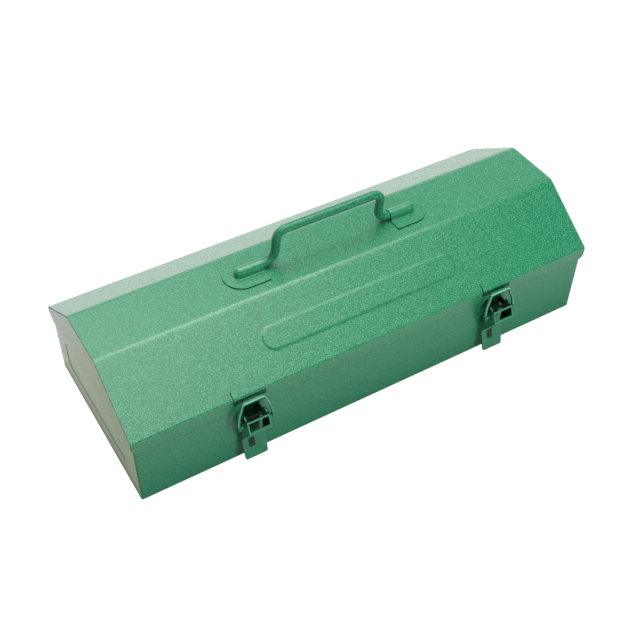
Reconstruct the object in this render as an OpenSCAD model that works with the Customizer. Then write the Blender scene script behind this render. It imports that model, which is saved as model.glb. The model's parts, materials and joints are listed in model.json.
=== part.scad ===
// Steel toolbox with a hip-roofed lid, a folding wire handle, two back hinges and two draw latches.
// Origin: middle of the underside. +X runs along the box, -Y is the front, +Z is up. Millimetres.

/* [Lid] */
// Length over the lid ends
lid_l = 359; // [280:1:480]
// Depth over the front and back skirts
lid_d = 138; // [120:1:180]
// Width of the flat top, between the fold lines
top_d = 44.5; // [36:0.5:64]
// Height of the fold between skirt and slope
edge_z = 60; // [52:1:90]
// Rise of the slopes, from that fold to the flat top
roof_h = 31.5; // [20:0.5:50]
// Height of the skirt below its fold
skirt_h = 10; // [8:0.5:14]
// Outer radius of the two folds at the flat top
roof_fold_r = 3; // [1.5:0.1:6]
// Outer radius of the folds between slope and skirt
skirt_fold_r = 2; // [1.2:0.1:4]
// Radius of the skirt's lower corners
skirt_corner_r = 5; // [2:0.5:7]
// Width of the flange inside each lid end
lid_flange = 8; // [5:0.5:12]
// Gap between that flange and the lid's sheet
flange_gap = 0.1; // [0.05:0.05:0.5]

/* [Raised panel on the front slope] */
// Length of the raised panel
plaque_l = 152; // [80:1:165]
// Height of the raised panel, along the slope
plaque_w = 18; // [10:0.5:22]
// Distance from the fold at the flat top to the middle of the panel
plaque_drop = 29; // [22:0.5:32]
// How far the panel stands out of the slope
plaque_t = 0.8; // [0.4:0.1:1.5]

/* [Case] */
// Thickness of the steel sheet
sheet = 0.8; // [0.6:0.1:1.2]
// Gap between the lid skirt and the case wall
lid_gap = 0.5; // [0.4:0.1:1.5]
// Height left between the case rim and the lid's lower fold
rim_gap = 1; // [0.5:0.1:3]
// Outer radius of the case's edges and corners
case_r = 1.5; // [1.2:0.1:6]
// Height of the folded hem inside the rim
hem_h = 6; // [3:0.5:8]
// Length of the recessed panel in each end
panel_l = 100; // [60:1:104]
// Height of the recessed panel
panel_h = 24; // [12:1:26]
// Height of the panel's lower edge above the underside
panel_z = 18; // [8:1:20]
// Depth of the recess
panel_in = 0.9; // [0.5:0.1:2.5]
// Corner radius of the panel
panel_r = 6; // [2:0.5:10]

/* [Handle] */
// Radius of the handle wire
wire_r = 3.1; // [2.5:0.1:4]
// Height of the grip above its pivots, along the legs
grip_h = 26.5; // [22:0.5:50]
// How far the handle leans to the front, in degrees
handle_lean = 7; // [-60:1:60]
// Distance from the middle to the bend at each foot
foot_x = 50; // [42:0.5:60]
// Length of each pivot, from that bend to its round end
pivot_l = 20; // [14:0.5:24]
// How far the legs lean in, in degrees
leg_lean = 1; // [0:0.1:20]
// Bend radius at the feet, on the wire's axis
foot_bend_r = 9.3; // [4.2:0.1:12]
// Bend radius at the grip, on the wire's axis
grip_bend_r = 7; // [5:0.1:10]
// Gap between the folded wire and the flat top
handle_gap = 0.3; // [0.2:0.05:1]
// Gap between the wire and its bracket
handle_fit = 0.1; // [0.05:0.01:0.1]
// Thickness of the bracket sheet
bracket_t = 0.7; // [0.6:0.1:1.5]
// Half width of a bracket, and radius of its outer end
bracket_r = 13.5; // [10:0.5:16]
// Length of a bracket
bracket_l = 28.7; // [27:0.1:34]

/* [Hinges] */
// Distance from each end of the lid to the middle of its hinge
hinge_in = 69.5; // [45:0.5:90]
// Length of each hinge
hinge_l = 45; // [36:1:60]
// Length of the middle knuckle
mid_knuckle = 18; // [12:0.5:20]
// Radius of the hinge pins
hinge_pin_r = 1.5; // [1.2:0.1:2]
// Thickness of the leaves
leaf_t = 1; // [0.8:0.1:1.4]
// Depth of the hinge axis below the lower edge of the skirt
hinge_drop = 1.5; // [1.2:0.1:2]
// Height of the case leaf below the hinge axis
case_leaf_h = 24; // [20:0.5:30]
// Gap between neighbouring knuckles
knuckle_gap = 0.3; // [0.2:0.05:0.6]

/* [Latches] */
// Distance from each end of the lid to the middle of its latch
latch_in = 81.5; // [45:0.5:100]
// Distance of the lever's pivot in front of the case
pivot_out = 7.5; // [7:0.1:8]
// Height of the lever's pivot
pivot_z = 45; // [43.5:0.5:45]
// Depth of the bail's pivot below the lever's pivot
bail_drop = 5.2; // [4.8:0.1:6]
// Radius of the lever pin
lever_pin_r = 1.1; // [1:0.05:1.2]
// Thickness of the lever sheet
lever_t = 1; // [0.8:0.1:1.2]
// Width over the lever's cheeks
lever_w = 16.2; // [15:0.1:17]
// Height of the cross bar between the lever's cheeks
cross_h = 1.5; // [1:0.1:3]
// Width of the pull tab at its shoulders
tab_w = 17.6; // [17:0.1:19]
// Width of the pull tab at its lower end
tab_end_w = 16.4; // [14:0.1:17]
// Height of the pull tab's lower end
tab_z = 4.4; // [3:0.1:8]
// Corner radius of the pull tab
tab_r = 1.5; // [1:0.5:3]
// Width of the hole in the pull tab
tab_hole_w = 4.6; // [2:0.1:5]
// Height of the hole in the pull tab
tab_hole_h = 7.4; // [3:0.1:8]
// Distance of that hole to the left of the tab's middle
tab_hole_left = 2.2; // [0:0.1:4]
// Depth of the hole's middle below the upper end of the tab
tab_hole_drop = 5; // [4.5:0.1:7]
// Thickness of the base sheet
base_t = 1; // [0.8:0.1:1.1]
// Height of the latch base
base_h = 20; // [18:0.5:22]
// Width of the bail strip, front to back
bail_w = 2; // [1.6:0.1:4]
// Thickness of the bail strip
bail_t = 1.5; // [1:0.1:1.8]
// Greatest width over the bail
bail_over = 26; // [25:0.1:28]
// Width of the bail at its top bar
bail_bar_w = 17; // [16:0.5:19]
// Gap between the bail's bar and the keeper's ledge
hook_gap = 0.3; // [0.2:0.05:0.5]
// Thickness of the keeper plate
keeper_t = 1; // [0.8:0.1:1.2]
// Width of the keeper plate
keeper_w = 23; // [18:0.5:26]
// Height of the keeper plate up the slope
keeper_h = 8; // [5:0.5:12]
// Width of the keeper's ledge
ledge_w = 12; // [8:0.5:13]
// How far the ledge stands out of the skirt
ledge_out = 3.3; // [2.5:0.1:3.5]

/* [Fasteners and fits] */
// Radius of the rivet shanks
rivet_r = 1.5; // [1:0.1:1.8]
// Radius of the rivet heads
rivet_head_r = 2.6; // [2.2:0.1:3]
// Height of the rivet heads
rivet_head_h = 0.9; // [0.6:0.1:1.2]
// Radial clearance of pins that turn
pin_fit = 0.05; // [0.02:0.01:0.1]
// Radial clearance of pins and rivets that are fixed
fixed_fit = 0.02; // [0.01:0.01:0.05]
// Side clearance between latch pieces
side_gap = 0.4; // [0.3:0.05:0.6]

/* [Hidden] */
$fn = 64;
green = [0.20, 0.52, 0.38];
dark_green = [0.14, 0.42, 0.30];
zinc = [0.72, 0.73, 0.74];
over = 0.5;
bend_steps = 8;

top_z = edge_z + roof_h;
skirt_z = edge_z - skirt_h;
case_l = lid_l - 2 * (sheet + lid_gap);
case_d = lid_d - 2 * (sheet + lid_gap);
case_h = edge_z - rim_gap;
slope_run = (lid_d - top_d) / 2;
hinge_x = lid_l / 2 - hinge_in;
latch_x = lid_l / 2 - latch_in;
slope_l = norm([slope_run, roof_h]);
slope_a = atan2(roof_h, slope_run);

// Section of the lid's outer face, from the front skirt over the top to the back skirt.
lid_path = [
    [-lid_d / 2, skirt_z], [-lid_d / 2, edge_z], [-top_d / 2, top_z],
    [top_d / 2, top_z], [lid_d / 2, edge_z], [lid_d / 2, skirt_z]
];
lid_radii = [0, skirt_fold_r, roof_fold_r, roof_fold_r, skirt_fold_r, 0];

// Section of the case up to a height, clockwise from the front, drawn in by t from its outer face.
function case_outline(t, top) = [
    [t - case_d / 2, top], [case_d / 2 - t, top], [case_d / 2 - t, t], [t - case_d / 2, t]
];

handle_z = top_z + wire_r + handle_gap;
pivot_end_x = foot_x + pivot_l - wire_r;
tunnel_r = wire_r + handle_fit;
// The wire is a little thicker in its bends, and its straight runs reach into them.
bend_swell = 0.05;
bend_lap = 0.5;

knuckle_r = hinge_pin_r + pin_fit + leaf_t;
hinge_y = lid_d / 2 + knuckle_r;
hinge_z = skirt_z - hinge_drop;
knuckle_clear = knuckle_r + side_gap;
lid_leaf_h = skirt_h + hinge_drop - skirt_fold_r;
leaf_rivet_xs = [-hinge_l / 3, 0, hinge_l / 3];
case_rivet_part = 0.7;
case_rivet_z = hinge_z - case_leaf_h * case_rivet_part;
lid_rivet_z = hinge_z + (knuckle_clear + lid_leaf_h) / 2;

// Points of a latch are [distance in front of the case, height].
lever_pivot = [pivot_out, pivot_z];
bail_out = 0.9;
bail_pivot = lever_pivot + [bail_out, -bail_drop];
front_out = 4.5;
front_up = 2.2;
lip_out = 7.8;
lip_down = 7.2;
tab_in = 3.5;
tab_down = 23;
tab_out = 0.8;
lever_top = lever_pivot + [front_out, front_up];
lever_lip = lever_pivot + [lip_out, -lip_down];
tab_top = lever_pivot - [tab_in, tab_down];
tab_foot = [pivot_out + tab_out, tab_z];
shoulder_drop = 0.5;
cheek_in = lever_w / 2 - lever_t;
ear_t = 1.2;
ear_out = cheek_in - side_gap;
ear_wall = 1.1;
ear_r = lever_pin_r + ear_wall;
base_up = 4;
base_low_z = pivot_z + base_up - base_h;
base_rivet_zs = [base_low_z + rivet_head_r, base_low_z + base_h - rivet_head_r];
pin_head_t = 0.7;
pin_head_lip = 1;
pin_head_r = lever_pin_r + pin_head_lip;

// The bail's bar lies just in front of the ledge, and over it once the lever is pressed home.
skirt_out = sheet + lid_gap;
ledge_drop = 1.9;
ledge_t = 1.2;
ledge_top_z = edge_z - ledge_drop;
bar_lift = 0.5;
bar_s = ledge_top_z + bar_lift + bail_t / 2 - bail_pivot[1];
bail_tilt = asin((skirt_out + ledge_out + hook_gap + bail_w / 2 - bail_pivot[0]) / bar_s);
arm_x = bail_over / 2;
eye_x = arm_x - bail_t;
eye_lip = 0.8;
eye_r = bail_w / 2 + eye_lip;
stub_r = 1.2;

function unit(v) = v / norm(v);
function right_of(v) = [v[1], -v[0]];
function turn(path, i) = acos(unit(path[i] - path[i - 1]) * unit(path[i + 1] - path[i]));
function right_at(path, i) = right_of(unit(path[i + 1] - path[i]));
function reversed(path) = [for (i = [len(path) - 1 : -1 : 0]) path[i]];

// A path moved to its right by t, with its corners kept sharp.
function inset(path, t) = [
    for (i = [0 : len(path) - 1])
        i == 0 ? path[i] + right_at(path, i) * t
        : i == len(path) - 1 ? path[i] + right_at(path, i - 1) * t
        : path[i] + (right_at(path, i - 1) + right_at(path, i)) * t
            / (1 + right_at(path, i - 1) * right_at(path, i))
];

// Points of the bend at a corner where a path turns to the right.
function bend(path, radii, i) = radii[i] == 0 ? [path[i]] : let (
    a = turn(path, i),
    out = -right_at(path, i - 1),
    centre = path[i] - unit(path[i] - path[i - 1]) * radii[i] * tan(a / 2) - out * radii[i]
) [
    for (k = [0 : bend_steps]) let (b = a * k / bend_steps)
        centre + radii[i] * (out * cos(b) + right_of(out) * sin(b))
];
function bent(path, radii) = [
    for (i = [0 : len(path) - 1]) each i == 0 || i == len(path) - 1 ? [path[i]] : bend(path, radii, i)
];

// Section of a sheet whose outer face follows a path that bends to the right. The sheet lies on the right.
module folded_sheet(path, radii, t) {
    inner_radii = [for (r = radii) max(r - t, 0)];
    polygon(concat(bent(path, radii), reversed(bent(inset(path, t), inner_radii))));
}

// Filled outline, clockwise and convex, with a radius at each corner.
module round_poly(points, radii) {
    n = len(points);
    ring = [for (i = [-1 : n]) points[(i + n) % n]];
    ring_r = [for (i = [-1 : n]) radii[(i + n) % n]];
    polygon([for (i = [1 : n]) each bend(ring, ring_r, i)]);
}

// Rectangle with round corners, its middle at the origin.
module round_rect(w, h, r) {
    square([w - 2 * r, h], center = true);
    square([w, h - 2 * r], center = true);
    for (x = [-1, 1], y = [-1, 1]) translate([x * (w / 2 - r), y * (h / 2 - r)]) circle(r);
}

// Long shape with round ends, its middle at the origin.
module stadium(l, w) {
    square([l - w, w], center = true);
    for (s = [-1, 1]) translate([s * (l - w) / 2, 0]) circle(w / 2);
}

// Carries a section drawn as [y, z] from x = 0 along +X.
module along_x(l) { rotate([90, 0, 90]) linear_extrude(l) children(); }

// Carries a section drawn as [y, z] along X, half each way.
module across_x(l) { rotate([90, 0, 90]) linear_extrude(l, center = true) children(); }

// Carries a latch section, drawn as [distance in front of the case, height], along X, half each way.
module across_latch(w) { rotate([90, 0, -90]) linear_extrude(w, center = true) children(); }

// Round bar along X with its middle at the origin.
module bar_x(r, l) { rotate([0, 90, 0]) cylinder(r = r, h = l, center = true); }

// Places a piece on the right (1) or as its mirror image on the left (-1).
module on_side(side) { if (side > 0) children(); else mirror([1, 0, 0]) children(); }

// Frame of the front slope: x along the fold above the skirt, y up the slope, z out of it.
module on_slope() { translate([0, -lid_d / 2, edge_z]) rotate([slope_a, 0, 0]) children(); }

// Frame of a latch: x from its middle, -y out of the front of the case.
module at_latch(side) { translate([side * latch_x, -case_d / 2, 0]) children(); }

// Case: front, floor and back folded from one sheet, with a hem inside both rims.
module body_wrap() {
    flat = case_l - 2 * case_r;
    color(green) difference() {
        union() {
            across_x(flat) difference() {
                round_poly(case_outline(0, case_h - sheet), [0, 0, case_r, case_r]);
                round_poly(case_outline(sheet, case_h), [0, 0, case_r - sheet, case_r - sheet]);
            }
            for (s = [-1, 1]) across_x(flat) translate([s * (case_d / 2 - sheet), case_h - sheet]) {
                translate([-sheet, sheet - hem_h]) square([2 * sheet, hem_h - sheet]);
                circle(sheet);
            }
        }
        for (s = [-1, 1]) {
            at_latch(s) base_holes();
            translate([s * hinge_x, case_d / 2, 0]) case_leaf_holes();
        }
    }
}

// Case end: a pan with round edges and a recessed panel.
module body_end(side) {
    flat_d = case_d - 2 * case_r;
    panel_mid = panel_z + panel_h / 2;
    end_x = case_l / 2;
    color(green) on_side(side) {
        // Plate round the recess, the recess wall and the recess floor
        translate([end_x - sheet, 0, 0]) along_x(sheet) difference() {
            translate([-flat_d / 2, case_r]) square([flat_d, case_h - case_r]);
            translate([0, panel_mid]) round_rect(panel_l, panel_h, panel_r);
        }
        translate([end_x - panel_in - sheet, 0, panel_mid]) {
            along_x(panel_in) difference() {
                round_rect(panel_l + 2 * sheet, panel_h + 2 * sheet, panel_r + sheet);
                round_rect(panel_l, panel_h, panel_r);
            }
            along_x(sheet) round_rect(panel_l + 2 * sheet, panel_h + 2 * sheet, panel_r + sheet);
        }
        // Round edges at the floor and at the two walls
        intersection() {
            translate([end_x - case_r, 0, case_r]) rotate([90, 0, 0]) difference() {
                cylinder(r = case_r, h = flat_d, center = true);
                cylinder(r = case_r - sheet, h = flat_d + 2 * over, center = true);
            }
            translate([end_x - case_r, -flat_d / 2, 0]) cube([case_r, flat_d, case_r]);
        }
        for (s = [-1, 1]) {
            intersection() {
                translate([end_x - case_r, s * flat_d / 2, case_r]) difference() {
                    cylinder(r = case_r, h = case_h - case_r);
                    translate([0, 0, -over]) cylinder(r = case_r - sheet, h = case_h);
                }
                translate([end_x - case_r, s * (flat_d + case_r) / 2 - case_r / 2, case_r])
                    cube([case_r, case_r, case_h]);
            }
            intersection() {
                translate([end_x - case_r, s * flat_d / 2, case_r]) difference() {
                    sphere(case_r);
                    sphere(case_r - sheet);
                }
                translate([end_x - case_r, s * (flat_d + case_r) / 2 - case_r / 2, 0])
                    cube([case_r, case_r, case_r]);
            }
        }
    }
}

// Lid: skirts, slopes and flat top folded from one sheet, with the raised panel on the front slope.
module lid_wrap() {
    color(green) difference() {
        union() {
            across_x(lid_l) folded_sheet(lid_path, lid_radii, sheet);
            on_slope() translate([0, slope_l - plaque_drop, 0])
                linear_extrude(plaque_t) stadium(plaque_l, plaque_w);
        }
        for (s = [-1, 1]) {
            skirt_corner(s);
            translate([s * hinge_x, 0, 0]) lid_leaf_holes();
        }
    }
}

// What is cut from the skirts to round their lower corners.
module skirt_corner(side) {
    on_side(side) translate([lid_l / 2 - skirt_corner_r, 0, skirt_z]) difference() {
        translate([0, -lid_d, -over]) cube([skirt_corner_r + over, 2 * lid_d, skirt_corner_r + over]);
        translate([0, 0, skirt_corner_r]) rotate([90, 0, 0])
            cylinder(r = skirt_corner_r, h = 4 * lid_d, center = true);
        translate([-over, -2 * lid_d, skirt_corner_r])
            cube([skirt_corner_r + 2 * over, 4 * lid_d, skirt_corner_r]);
    }
}

// Lid end: a plate that closes the folded sheet, with a flange inside the slopes and the top.
module lid_end(side) {
    radii = [skirt_corner_r, skirt_fold_r - sheet, roof_fold_r - sheet];
    fold = inset(lid_path, sheet + flange_gap);
    fold_r = roof_fold_r - sheet - flange_gap;
    up_slope = unit(fold[2] - fold[1]) * 3 * skirt_fold_r;
    flange_path = [fold[1] + up_slope, fold[2], fold[3], fold[4] + [-up_slope[0], up_slope[1]]];
    color(green) on_side(side) {
        translate([lid_l / 2 - sheet, 0, 0]) along_x(sheet)
            round_poly(inset(lid_path, sheet), [for (i = [0 : 5]) radii[min(i, 5 - i)]]);
        translate([lid_l / 2 - lid_flange, 0, 0]) along_x(lid_flange - sheet / 2)
            folded_sheet(flange_path, [0, fold_r, fold_r, 0], sheet);
    }
}

// Handle: one round wire, leaning a little to the front. Its ends turn in the brackets.
module handle_bar() {
    foot_centre = [foot_x, foot_bend_r];
    inward = [-cos(leg_lean), -sin(leg_lean)];
    leg_foot = foot_centre + foot_bend_r * inward;
    leg_l = (grip_h - grip_bend_r * (1 - sin(leg_lean)) - leg_foot[1]) / cos(leg_lean);
    leg_head = leg_foot + leg_l * [-sin(leg_lean), cos(leg_lean)];
    grip_centre = leg_head + grip_bend_r * inward;
    color(green) translate([0, 0, handle_z]) rotate([handle_lean, 0, 0]) {
        translate([0, 0, grip_h]) bar_x(wire_r, 2 * (grip_centre[0] + bend_lap));
        for (s = [-1, 1]) on_side(s) {
            translate([(foot_x - bend_lap + pivot_end_x) / 2, 0, 0])
                bar_x(wire_r, pivot_end_x - foot_x + bend_lap);
            translate([pivot_end_x, 0, 0]) sphere(wire_r);
            wire_bend(foot_centre, foot_bend_r, leg_lean - 180);
            translate([leg_foot[0], 0, leg_foot[1]]) rotate([0, -leg_lean, 0])
                translate([0, 0, -bend_lap]) cylinder(r = wire_r, h = leg_l + 2 * bend_lap);
            wire_bend(grip_centre, grip_bend_r, leg_lean);
        }
    }
}

// A bend of the handle wire about a centre [x, z], from a start angle to square with the wire's axis.
module wire_bend(centre, r, start) {
    translate([centre[0], 0, centre[1]]) rotate([90, 0, 0]) rotate([0, 0, start])
        rotate_extrude(angle = 90 - leg_lean) translate([r, 0]) circle(wire_r + bend_swell);
}

// Handle bracket: a plate with a round outer end and a half-round tunnel, closed at that end.
module handle_bracket(side) {
    mouth_x = foot_x + handle_gap;
    dome_x = pivot_end_x + handle_gap;
    round_x = mouth_x + bracket_l - bracket_r;
    color(green) on_side(side) difference() {
        union() {
            translate([0, 0, top_z]) linear_extrude(bracket_t) {
                translate([mouth_x, -bracket_r]) square([round_x - mouth_x, 2 * bracket_r]);
                translate([round_x, 0]) circle(bracket_r);
            }
            tunnel(mouth_x, dome_x, tunnel_r + bracket_t, top_z);
        }
        tunnel(mouth_x - over, dome_x, tunnel_r, top_z - over);
    }
}

// Solid of the tunnel: straight sides from a height up to the handle's axis, half-round above it.
module tunnel(from_x, to_x, r, low_z) {
    rise = handle_z - low_z;
    translate([from_x, 0, 0]) along_x(to_x - from_x) {
        translate([-r, low_z]) square([2 * r, rise]);
        intersection() {
            translate([0, handle_z]) circle(r);
            translate([-r, handle_z]) square([2 * r, r]);
        }
    }
    translate([to_x, 0, low_z]) cylinder(r = r, h = rise);
    intersection() {
        translate([to_x, 0, handle_z]) sphere(r);
        translate([to_x - r, -r, handle_z]) cube([2 * r, 2 * r, r]);
    }
}

// Rivet along Z: its domed head stands on z = 0, and its tail is spread below the grip.
module rivet(grip, tail_h) {
    dome_r = (rivet_head_r * rivet_head_r + rivet_head_h * rivet_head_h) / (2 * rivet_head_h);
    intersection() {
        translate([0, 0, rivet_head_h - dome_r]) sphere(dome_r);
        cylinder(r = rivet_head_r, h = rivet_head_h);
    }
    translate([0, 0, -grip]) cylinder(r = rivet_r, h = grip);
    tail_r = (rivet_r + 2 * rivet_head_r) / 3;
    if (tail_h > 0) translate([0, 0, -grip - tail_h]) cylinder(r = tail_r, h = tail_h);
}

// A rivet hole along Y, through what lies within reach of y = 0.
module rivet_hole(x, z) {
    translate([x, 0, z]) rotate([90, 0, 0])
        cylinder(r = rivet_r + fixed_fit, h = 6 * max(sheet, leaf_t, base_t), center = true);
}

module case_leaf_holes() { for (x = leaf_rivet_xs) rivet_hole(x, case_rivet_z); }
module lid_leaf_holes() { translate([0, lid_d / 2, 0]) for (x = leaf_rivet_xs) rivet_hole(x, lid_rivet_z); }
module base_holes() { for (z = base_rivet_zs) rivet_hole(0, z); }

// Two outer knuckles, with the gap for the middle one between them.
module outer_knuckles(r) {
    inner = mid_knuckle / 2 + knuckle_gap;
    for (s = [-1, 1]) translate([s * (inner + hinge_l / 2) / 2, hinge_y, hinge_z])
        bar_x(r, hinge_l / 2 - inner);
}

// Hinge leaf on the back of the case, stepped out to the knuckles below the lid's skirt.
module hinge_case_leaf(side) {
    wall_y = case_d / 2;
    tangent_y = hinge_y - knuckle_r;
    low_z = hinge_z - case_leaf_h;
    step_z = hinge_z - 3 * knuckle_r;
    step_h = 2 * (tangent_y - wall_y);
    lean = leaf_t * tan(atan2(tangent_y - wall_y, step_h) / 2);
    color(green) translate([side * hinge_x, 0, 0]) difference() {
        union() {
            difference() {
                across_x(hinge_l) polygon([
                    [wall_y, low_z], [wall_y + leaf_t, low_z], [wall_y + leaf_t, step_z - lean],
                    [tangent_y + leaf_t, step_z + step_h - lean], [tangent_y + leaf_t, hinge_z],
                    [tangent_y, hinge_z], [tangent_y, step_z + step_h], [wall_y, step_z]
                ]);
                translate([-mid_knuckle / 2 - knuckle_gap, wall_y - over, hinge_z - knuckle_clear])
                    cube([mid_knuckle + 2 * knuckle_gap, 4 * knuckle_r, 2 * knuckle_clear]);
            }
            outer_knuckles(knuckle_r);
        }
        translate([0, hinge_y, hinge_z]) bar_x(hinge_pin_r + fixed_fit, 2 * hinge_l);
        translate([0, wall_y, 0]) case_leaf_holes();
    }
}

// Hinge leaf on the lid's back skirt, with the middle knuckle.
module hinge_lid_leaf(side) {
    color(green) translate([side * hinge_x, 0, 0]) difference() {
        union() {
            translate([-hinge_l / 2, lid_d / 2, hinge_z + knuckle_clear])
                cube([hinge_l, leaf_t, lid_leaf_h - knuckle_clear]);
            translate([-mid_knuckle / 2, lid_d / 2, hinge_z]) cube([mid_knuckle, leaf_t, lid_leaf_h]);
            translate([0, hinge_y, hinge_z]) bar_x(knuckle_r, mid_knuckle);
        }
        translate([0, hinge_y, hinge_z]) bar_x(hinge_pin_r + pin_fit, 2 * hinge_l);
        lid_leaf_holes();
    }
}

// Hinge pin with a small head at each end.
module hinge_pin(side) {
    head_t = 0.8;
    head_lip = 0.6;
    shank_l = hinge_l + 2 * fixed_fit;
    color(zinc) translate([side * hinge_x, hinge_y, hinge_z]) {
        bar_x(hinge_pin_r, shank_l);
        for (s = [-1, 1]) translate([s * (shank_l + head_t) / 2, 0, 0])
            bar_x(hinge_pin_r + head_lip, head_t);
    }
}

// Rivets of both case leaves, with their tails inside the back wall.
module hinge_case_rivets() {
    color(green) for (s = [-1, 1], x = leaf_rivet_xs)
        translate([s * hinge_x + x, case_d / 2 + leaf_t, case_rivet_z]) rotate([-90, 0, 0])
            rivet(leaf_t + sheet, rivet_head_h);
}

// Rivets of both lid leaves, flush inside the skirt.
module hinge_lid_rivets() {
    color(green) for (s = [-1, 1], x = leaf_rivet_xs)
        translate([s * hinge_x + x, lid_d / 2 + leaf_t, lid_rivet_z]) rotate([-90, 0, 0])
            rivet(leaf_t + sheet, 0);
}

// Keeper: a plate folded over the lid's lower edge, with the ledge that the bail pulls on.
module keeper(side) {
    outer_path = inset(lid_path, -keeper_t);
    low_z = ledge_top_z - ledge_t - keeper_t;
    corner_r = 3;
    cover = 4 * keeper_h;
    color(green) translate([side * latch_x, 0, 0]) {
        intersection() {
            across_x(keeper_w) folded_sheet(
                [[outer_path[1][0], low_z], outer_path[1], outer_path[2]],
                [0, skirt_fold_r + keeper_t, 0], keeper_t);
            on_slope() translate([0, keeper_h - cover / 2, -cover])
                linear_extrude(2 * cover) round_rect(keeper_w, cover, corner_r);
        }
        translate([-ledge_w / 2, -lid_d / 2 - ledge_out, ledge_top_z - ledge_t])
            cube([ledge_w, ledge_out, ledge_t]);
    }
}

// Latch base: a plate riveted to the case, with two ears for the lever pin.
module latch_base(side) {
    color(green) at_latch(side) difference() {
        union() {
            translate([-ear_out, -base_t, base_low_z]) cube([2 * ear_out, base_t, base_h]);
            for (s = [-1, 1]) translate([s * (ear_out - ear_t / 2), 0, 0]) across_latch(ear_t) {
                translate(lever_pivot) circle(ear_r);
                translate([0, pivot_z - ear_r]) square([pivot_out, 2 * ear_r]);
            }
        }
        translate([0, -pivot_out, pivot_z]) bar_x(lever_pin_r + fixed_fit, lever_w);
        base_holes();
    }
}

// Rivets of both latch bases, with their tails inside the front wall.
module latch_base_rivets() {
    color(green) for (s = [-1, 1], z = base_rivet_zs)
        at_latch(s) translate([0, -base_t, z]) rotate([90, 0, 0]) rivet(base_t + sheet, rivet_head_h);
}

// Lever pin, held in the ears of the base, with a head outside each cheek.
module lever_pin(side) {
    head_x = lever_w / 2 + side_gap / 2;
    color(dark_green) at_latch(side) translate([0, -pivot_out, pivot_z]) {
        bar_x(lever_pin_r, 2 * head_x);
        for (s = [-1, 1]) translate([s * (head_x + pin_head_t / 2), 0, 0]) bar_x(pin_head_r, pin_head_t);
    }
}

// Lever: two cheeks that turn on the pin, a cross bar and a lip between them, and a pull tab with a hole.
module lever(side) {
    cheek_r = 3;
    cheek_back = 3.8;
    cheek_foot = 3;
    shoulder_z = tab_top[1] - shoulder_drop;
    shoulder_r = 1;
    lip_r = 1.5 * lever_t;
    lip_h = 1.2;
    color(dark_green) at_latch(side) difference() {
        union() {
            for (s = [-1, 1]) translate([s * (cheek_in + lever_t / 2), 0, 0]) across_latch(lever_t) {
                translate(lever_pivot) circle(cheek_r);
                polygon([
                    lever_pivot, lever_top, lever_lip, tab_top, [cheek_back, tab_top[1] + cheek_foot],
                    [cheek_back, pivot_z - cheek_r], lever_pivot - [cheek_r, 0]
                ]);
            }
            intersection() {
                across_latch(2 * tab_w)
                    folded_sheet([lever_top, lever_lip, tab_top, tab_foot], [0, lip_r, 0, 0], lever_t);
                rotate([90, 0, 0]) linear_extrude(4 * pivot_out) {
                    translate([-lever_w / 2, shoulder_z - over])
                        square([lever_w, lever_top[1] - shoulder_z + 2 * over]);
                    round_poly([
                        [-tab_w / 2, shoulder_z], [tab_w / 2, shoulder_z],
                        [tab_end_w / 2, tab_z], [-tab_end_w / 2, tab_z]
                    ], [shoulder_r, shoulder_r, tab_r, tab_r]);
                }
            }
        }
        translate([-cheek_in, -4 * pivot_out, lever_lip[1] + lip_h])
            cube([2 * cheek_in, 4 * pivot_out, lever_top[1] - lever_lip[1] - lip_h - cross_h]);
        translate([-tab_hole_left, 0, tab_top[1] - tab_hole_drop])
            cube([tab_hole_w, 8 * pivot_out, tab_hole_h], center = true);
        translate([0, -pivot_out, pivot_z]) bar_x(lever_pin_r + pin_fit, 2 * lever_w);
        translate([0, -bail_pivot[0], bail_pivot[1]]) bar_x(stub_r + pin_fit, 2 * lever_w);
    }
}

// Bail: a flat strip bent to a loop, with a stub at each end that turns in the lever's cheeks.
module bail(side) {
    wide_at = 0.22;
    waist_at = 0.55;
    waist_in = 1.3;
    shoulder_at = 0.77;
    shoulder_in = 3.2;
    half = [
        [arm_x, 0], [arm_x, wide_at * bar_s], [arm_x - waist_in, waist_at * bar_s],
        [arm_x - shoulder_in, shoulder_at * bar_s], [bail_bar_w / 2, bar_s + bail_t / 2]
    ];
    outer = concat([for (p = half) [-p[0], p[1]]], reversed(half));
    color(dark_green) at_latch(side)
        translate([0, -bail_pivot[0], bail_pivot[1]]) rotate([bail_tilt, 0, 0]) {
        rotate([90, 0, 0]) linear_extrude(bail_w, center = true)
            polygon(concat(outer, reversed(inset(outer, bail_t))));
        for (s = [-1, 1]) {
            translate([s * (eye_x + bail_t / 2), 0, 0]) bar_x(eye_r, bail_t);
            translate([s * (cheek_in + eye_x) / 2, 0, 0]) bar_x(stub_r, eye_x - cheek_in);
        }
    }
}

body_wrap();
body_end(-1);  // body_end_left
body_end(1);  // body_end_right
lid_wrap();
lid_end(-1);  // lid_end_left
lid_end(1);  // lid_end_right
handle_bar();
handle_bracket(-1);  // handle_bracket_left
handle_bracket(1);  // handle_bracket_right
hinge_case_leaf(-1);  // hinge_case_leaf_left
hinge_case_leaf(1);  // hinge_case_leaf_right
hinge_lid_leaf(-1);  // hinge_lid_leaf_left
hinge_lid_leaf(1);  // hinge_lid_leaf_right
hinge_pin(-1);  // hinge_pin_left
hinge_pin(1);  // hinge_pin_right
hinge_case_rivets();
hinge_lid_rivets();
keeper(-1);  // keeper_left
keeper(1);  // keeper_right
latch_base(-1);  // latch_base_left
latch_base(1);  // latch_base_right
latch_base_rivets();
lever_pin(-1);  // lever_pin_left
lever_pin(1);  // lever_pin_right
lever(-1);  // lever_left
lever(1);  // lever_right
bail(-1);  // bail_left
bail(1);  // bail_right
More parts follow.
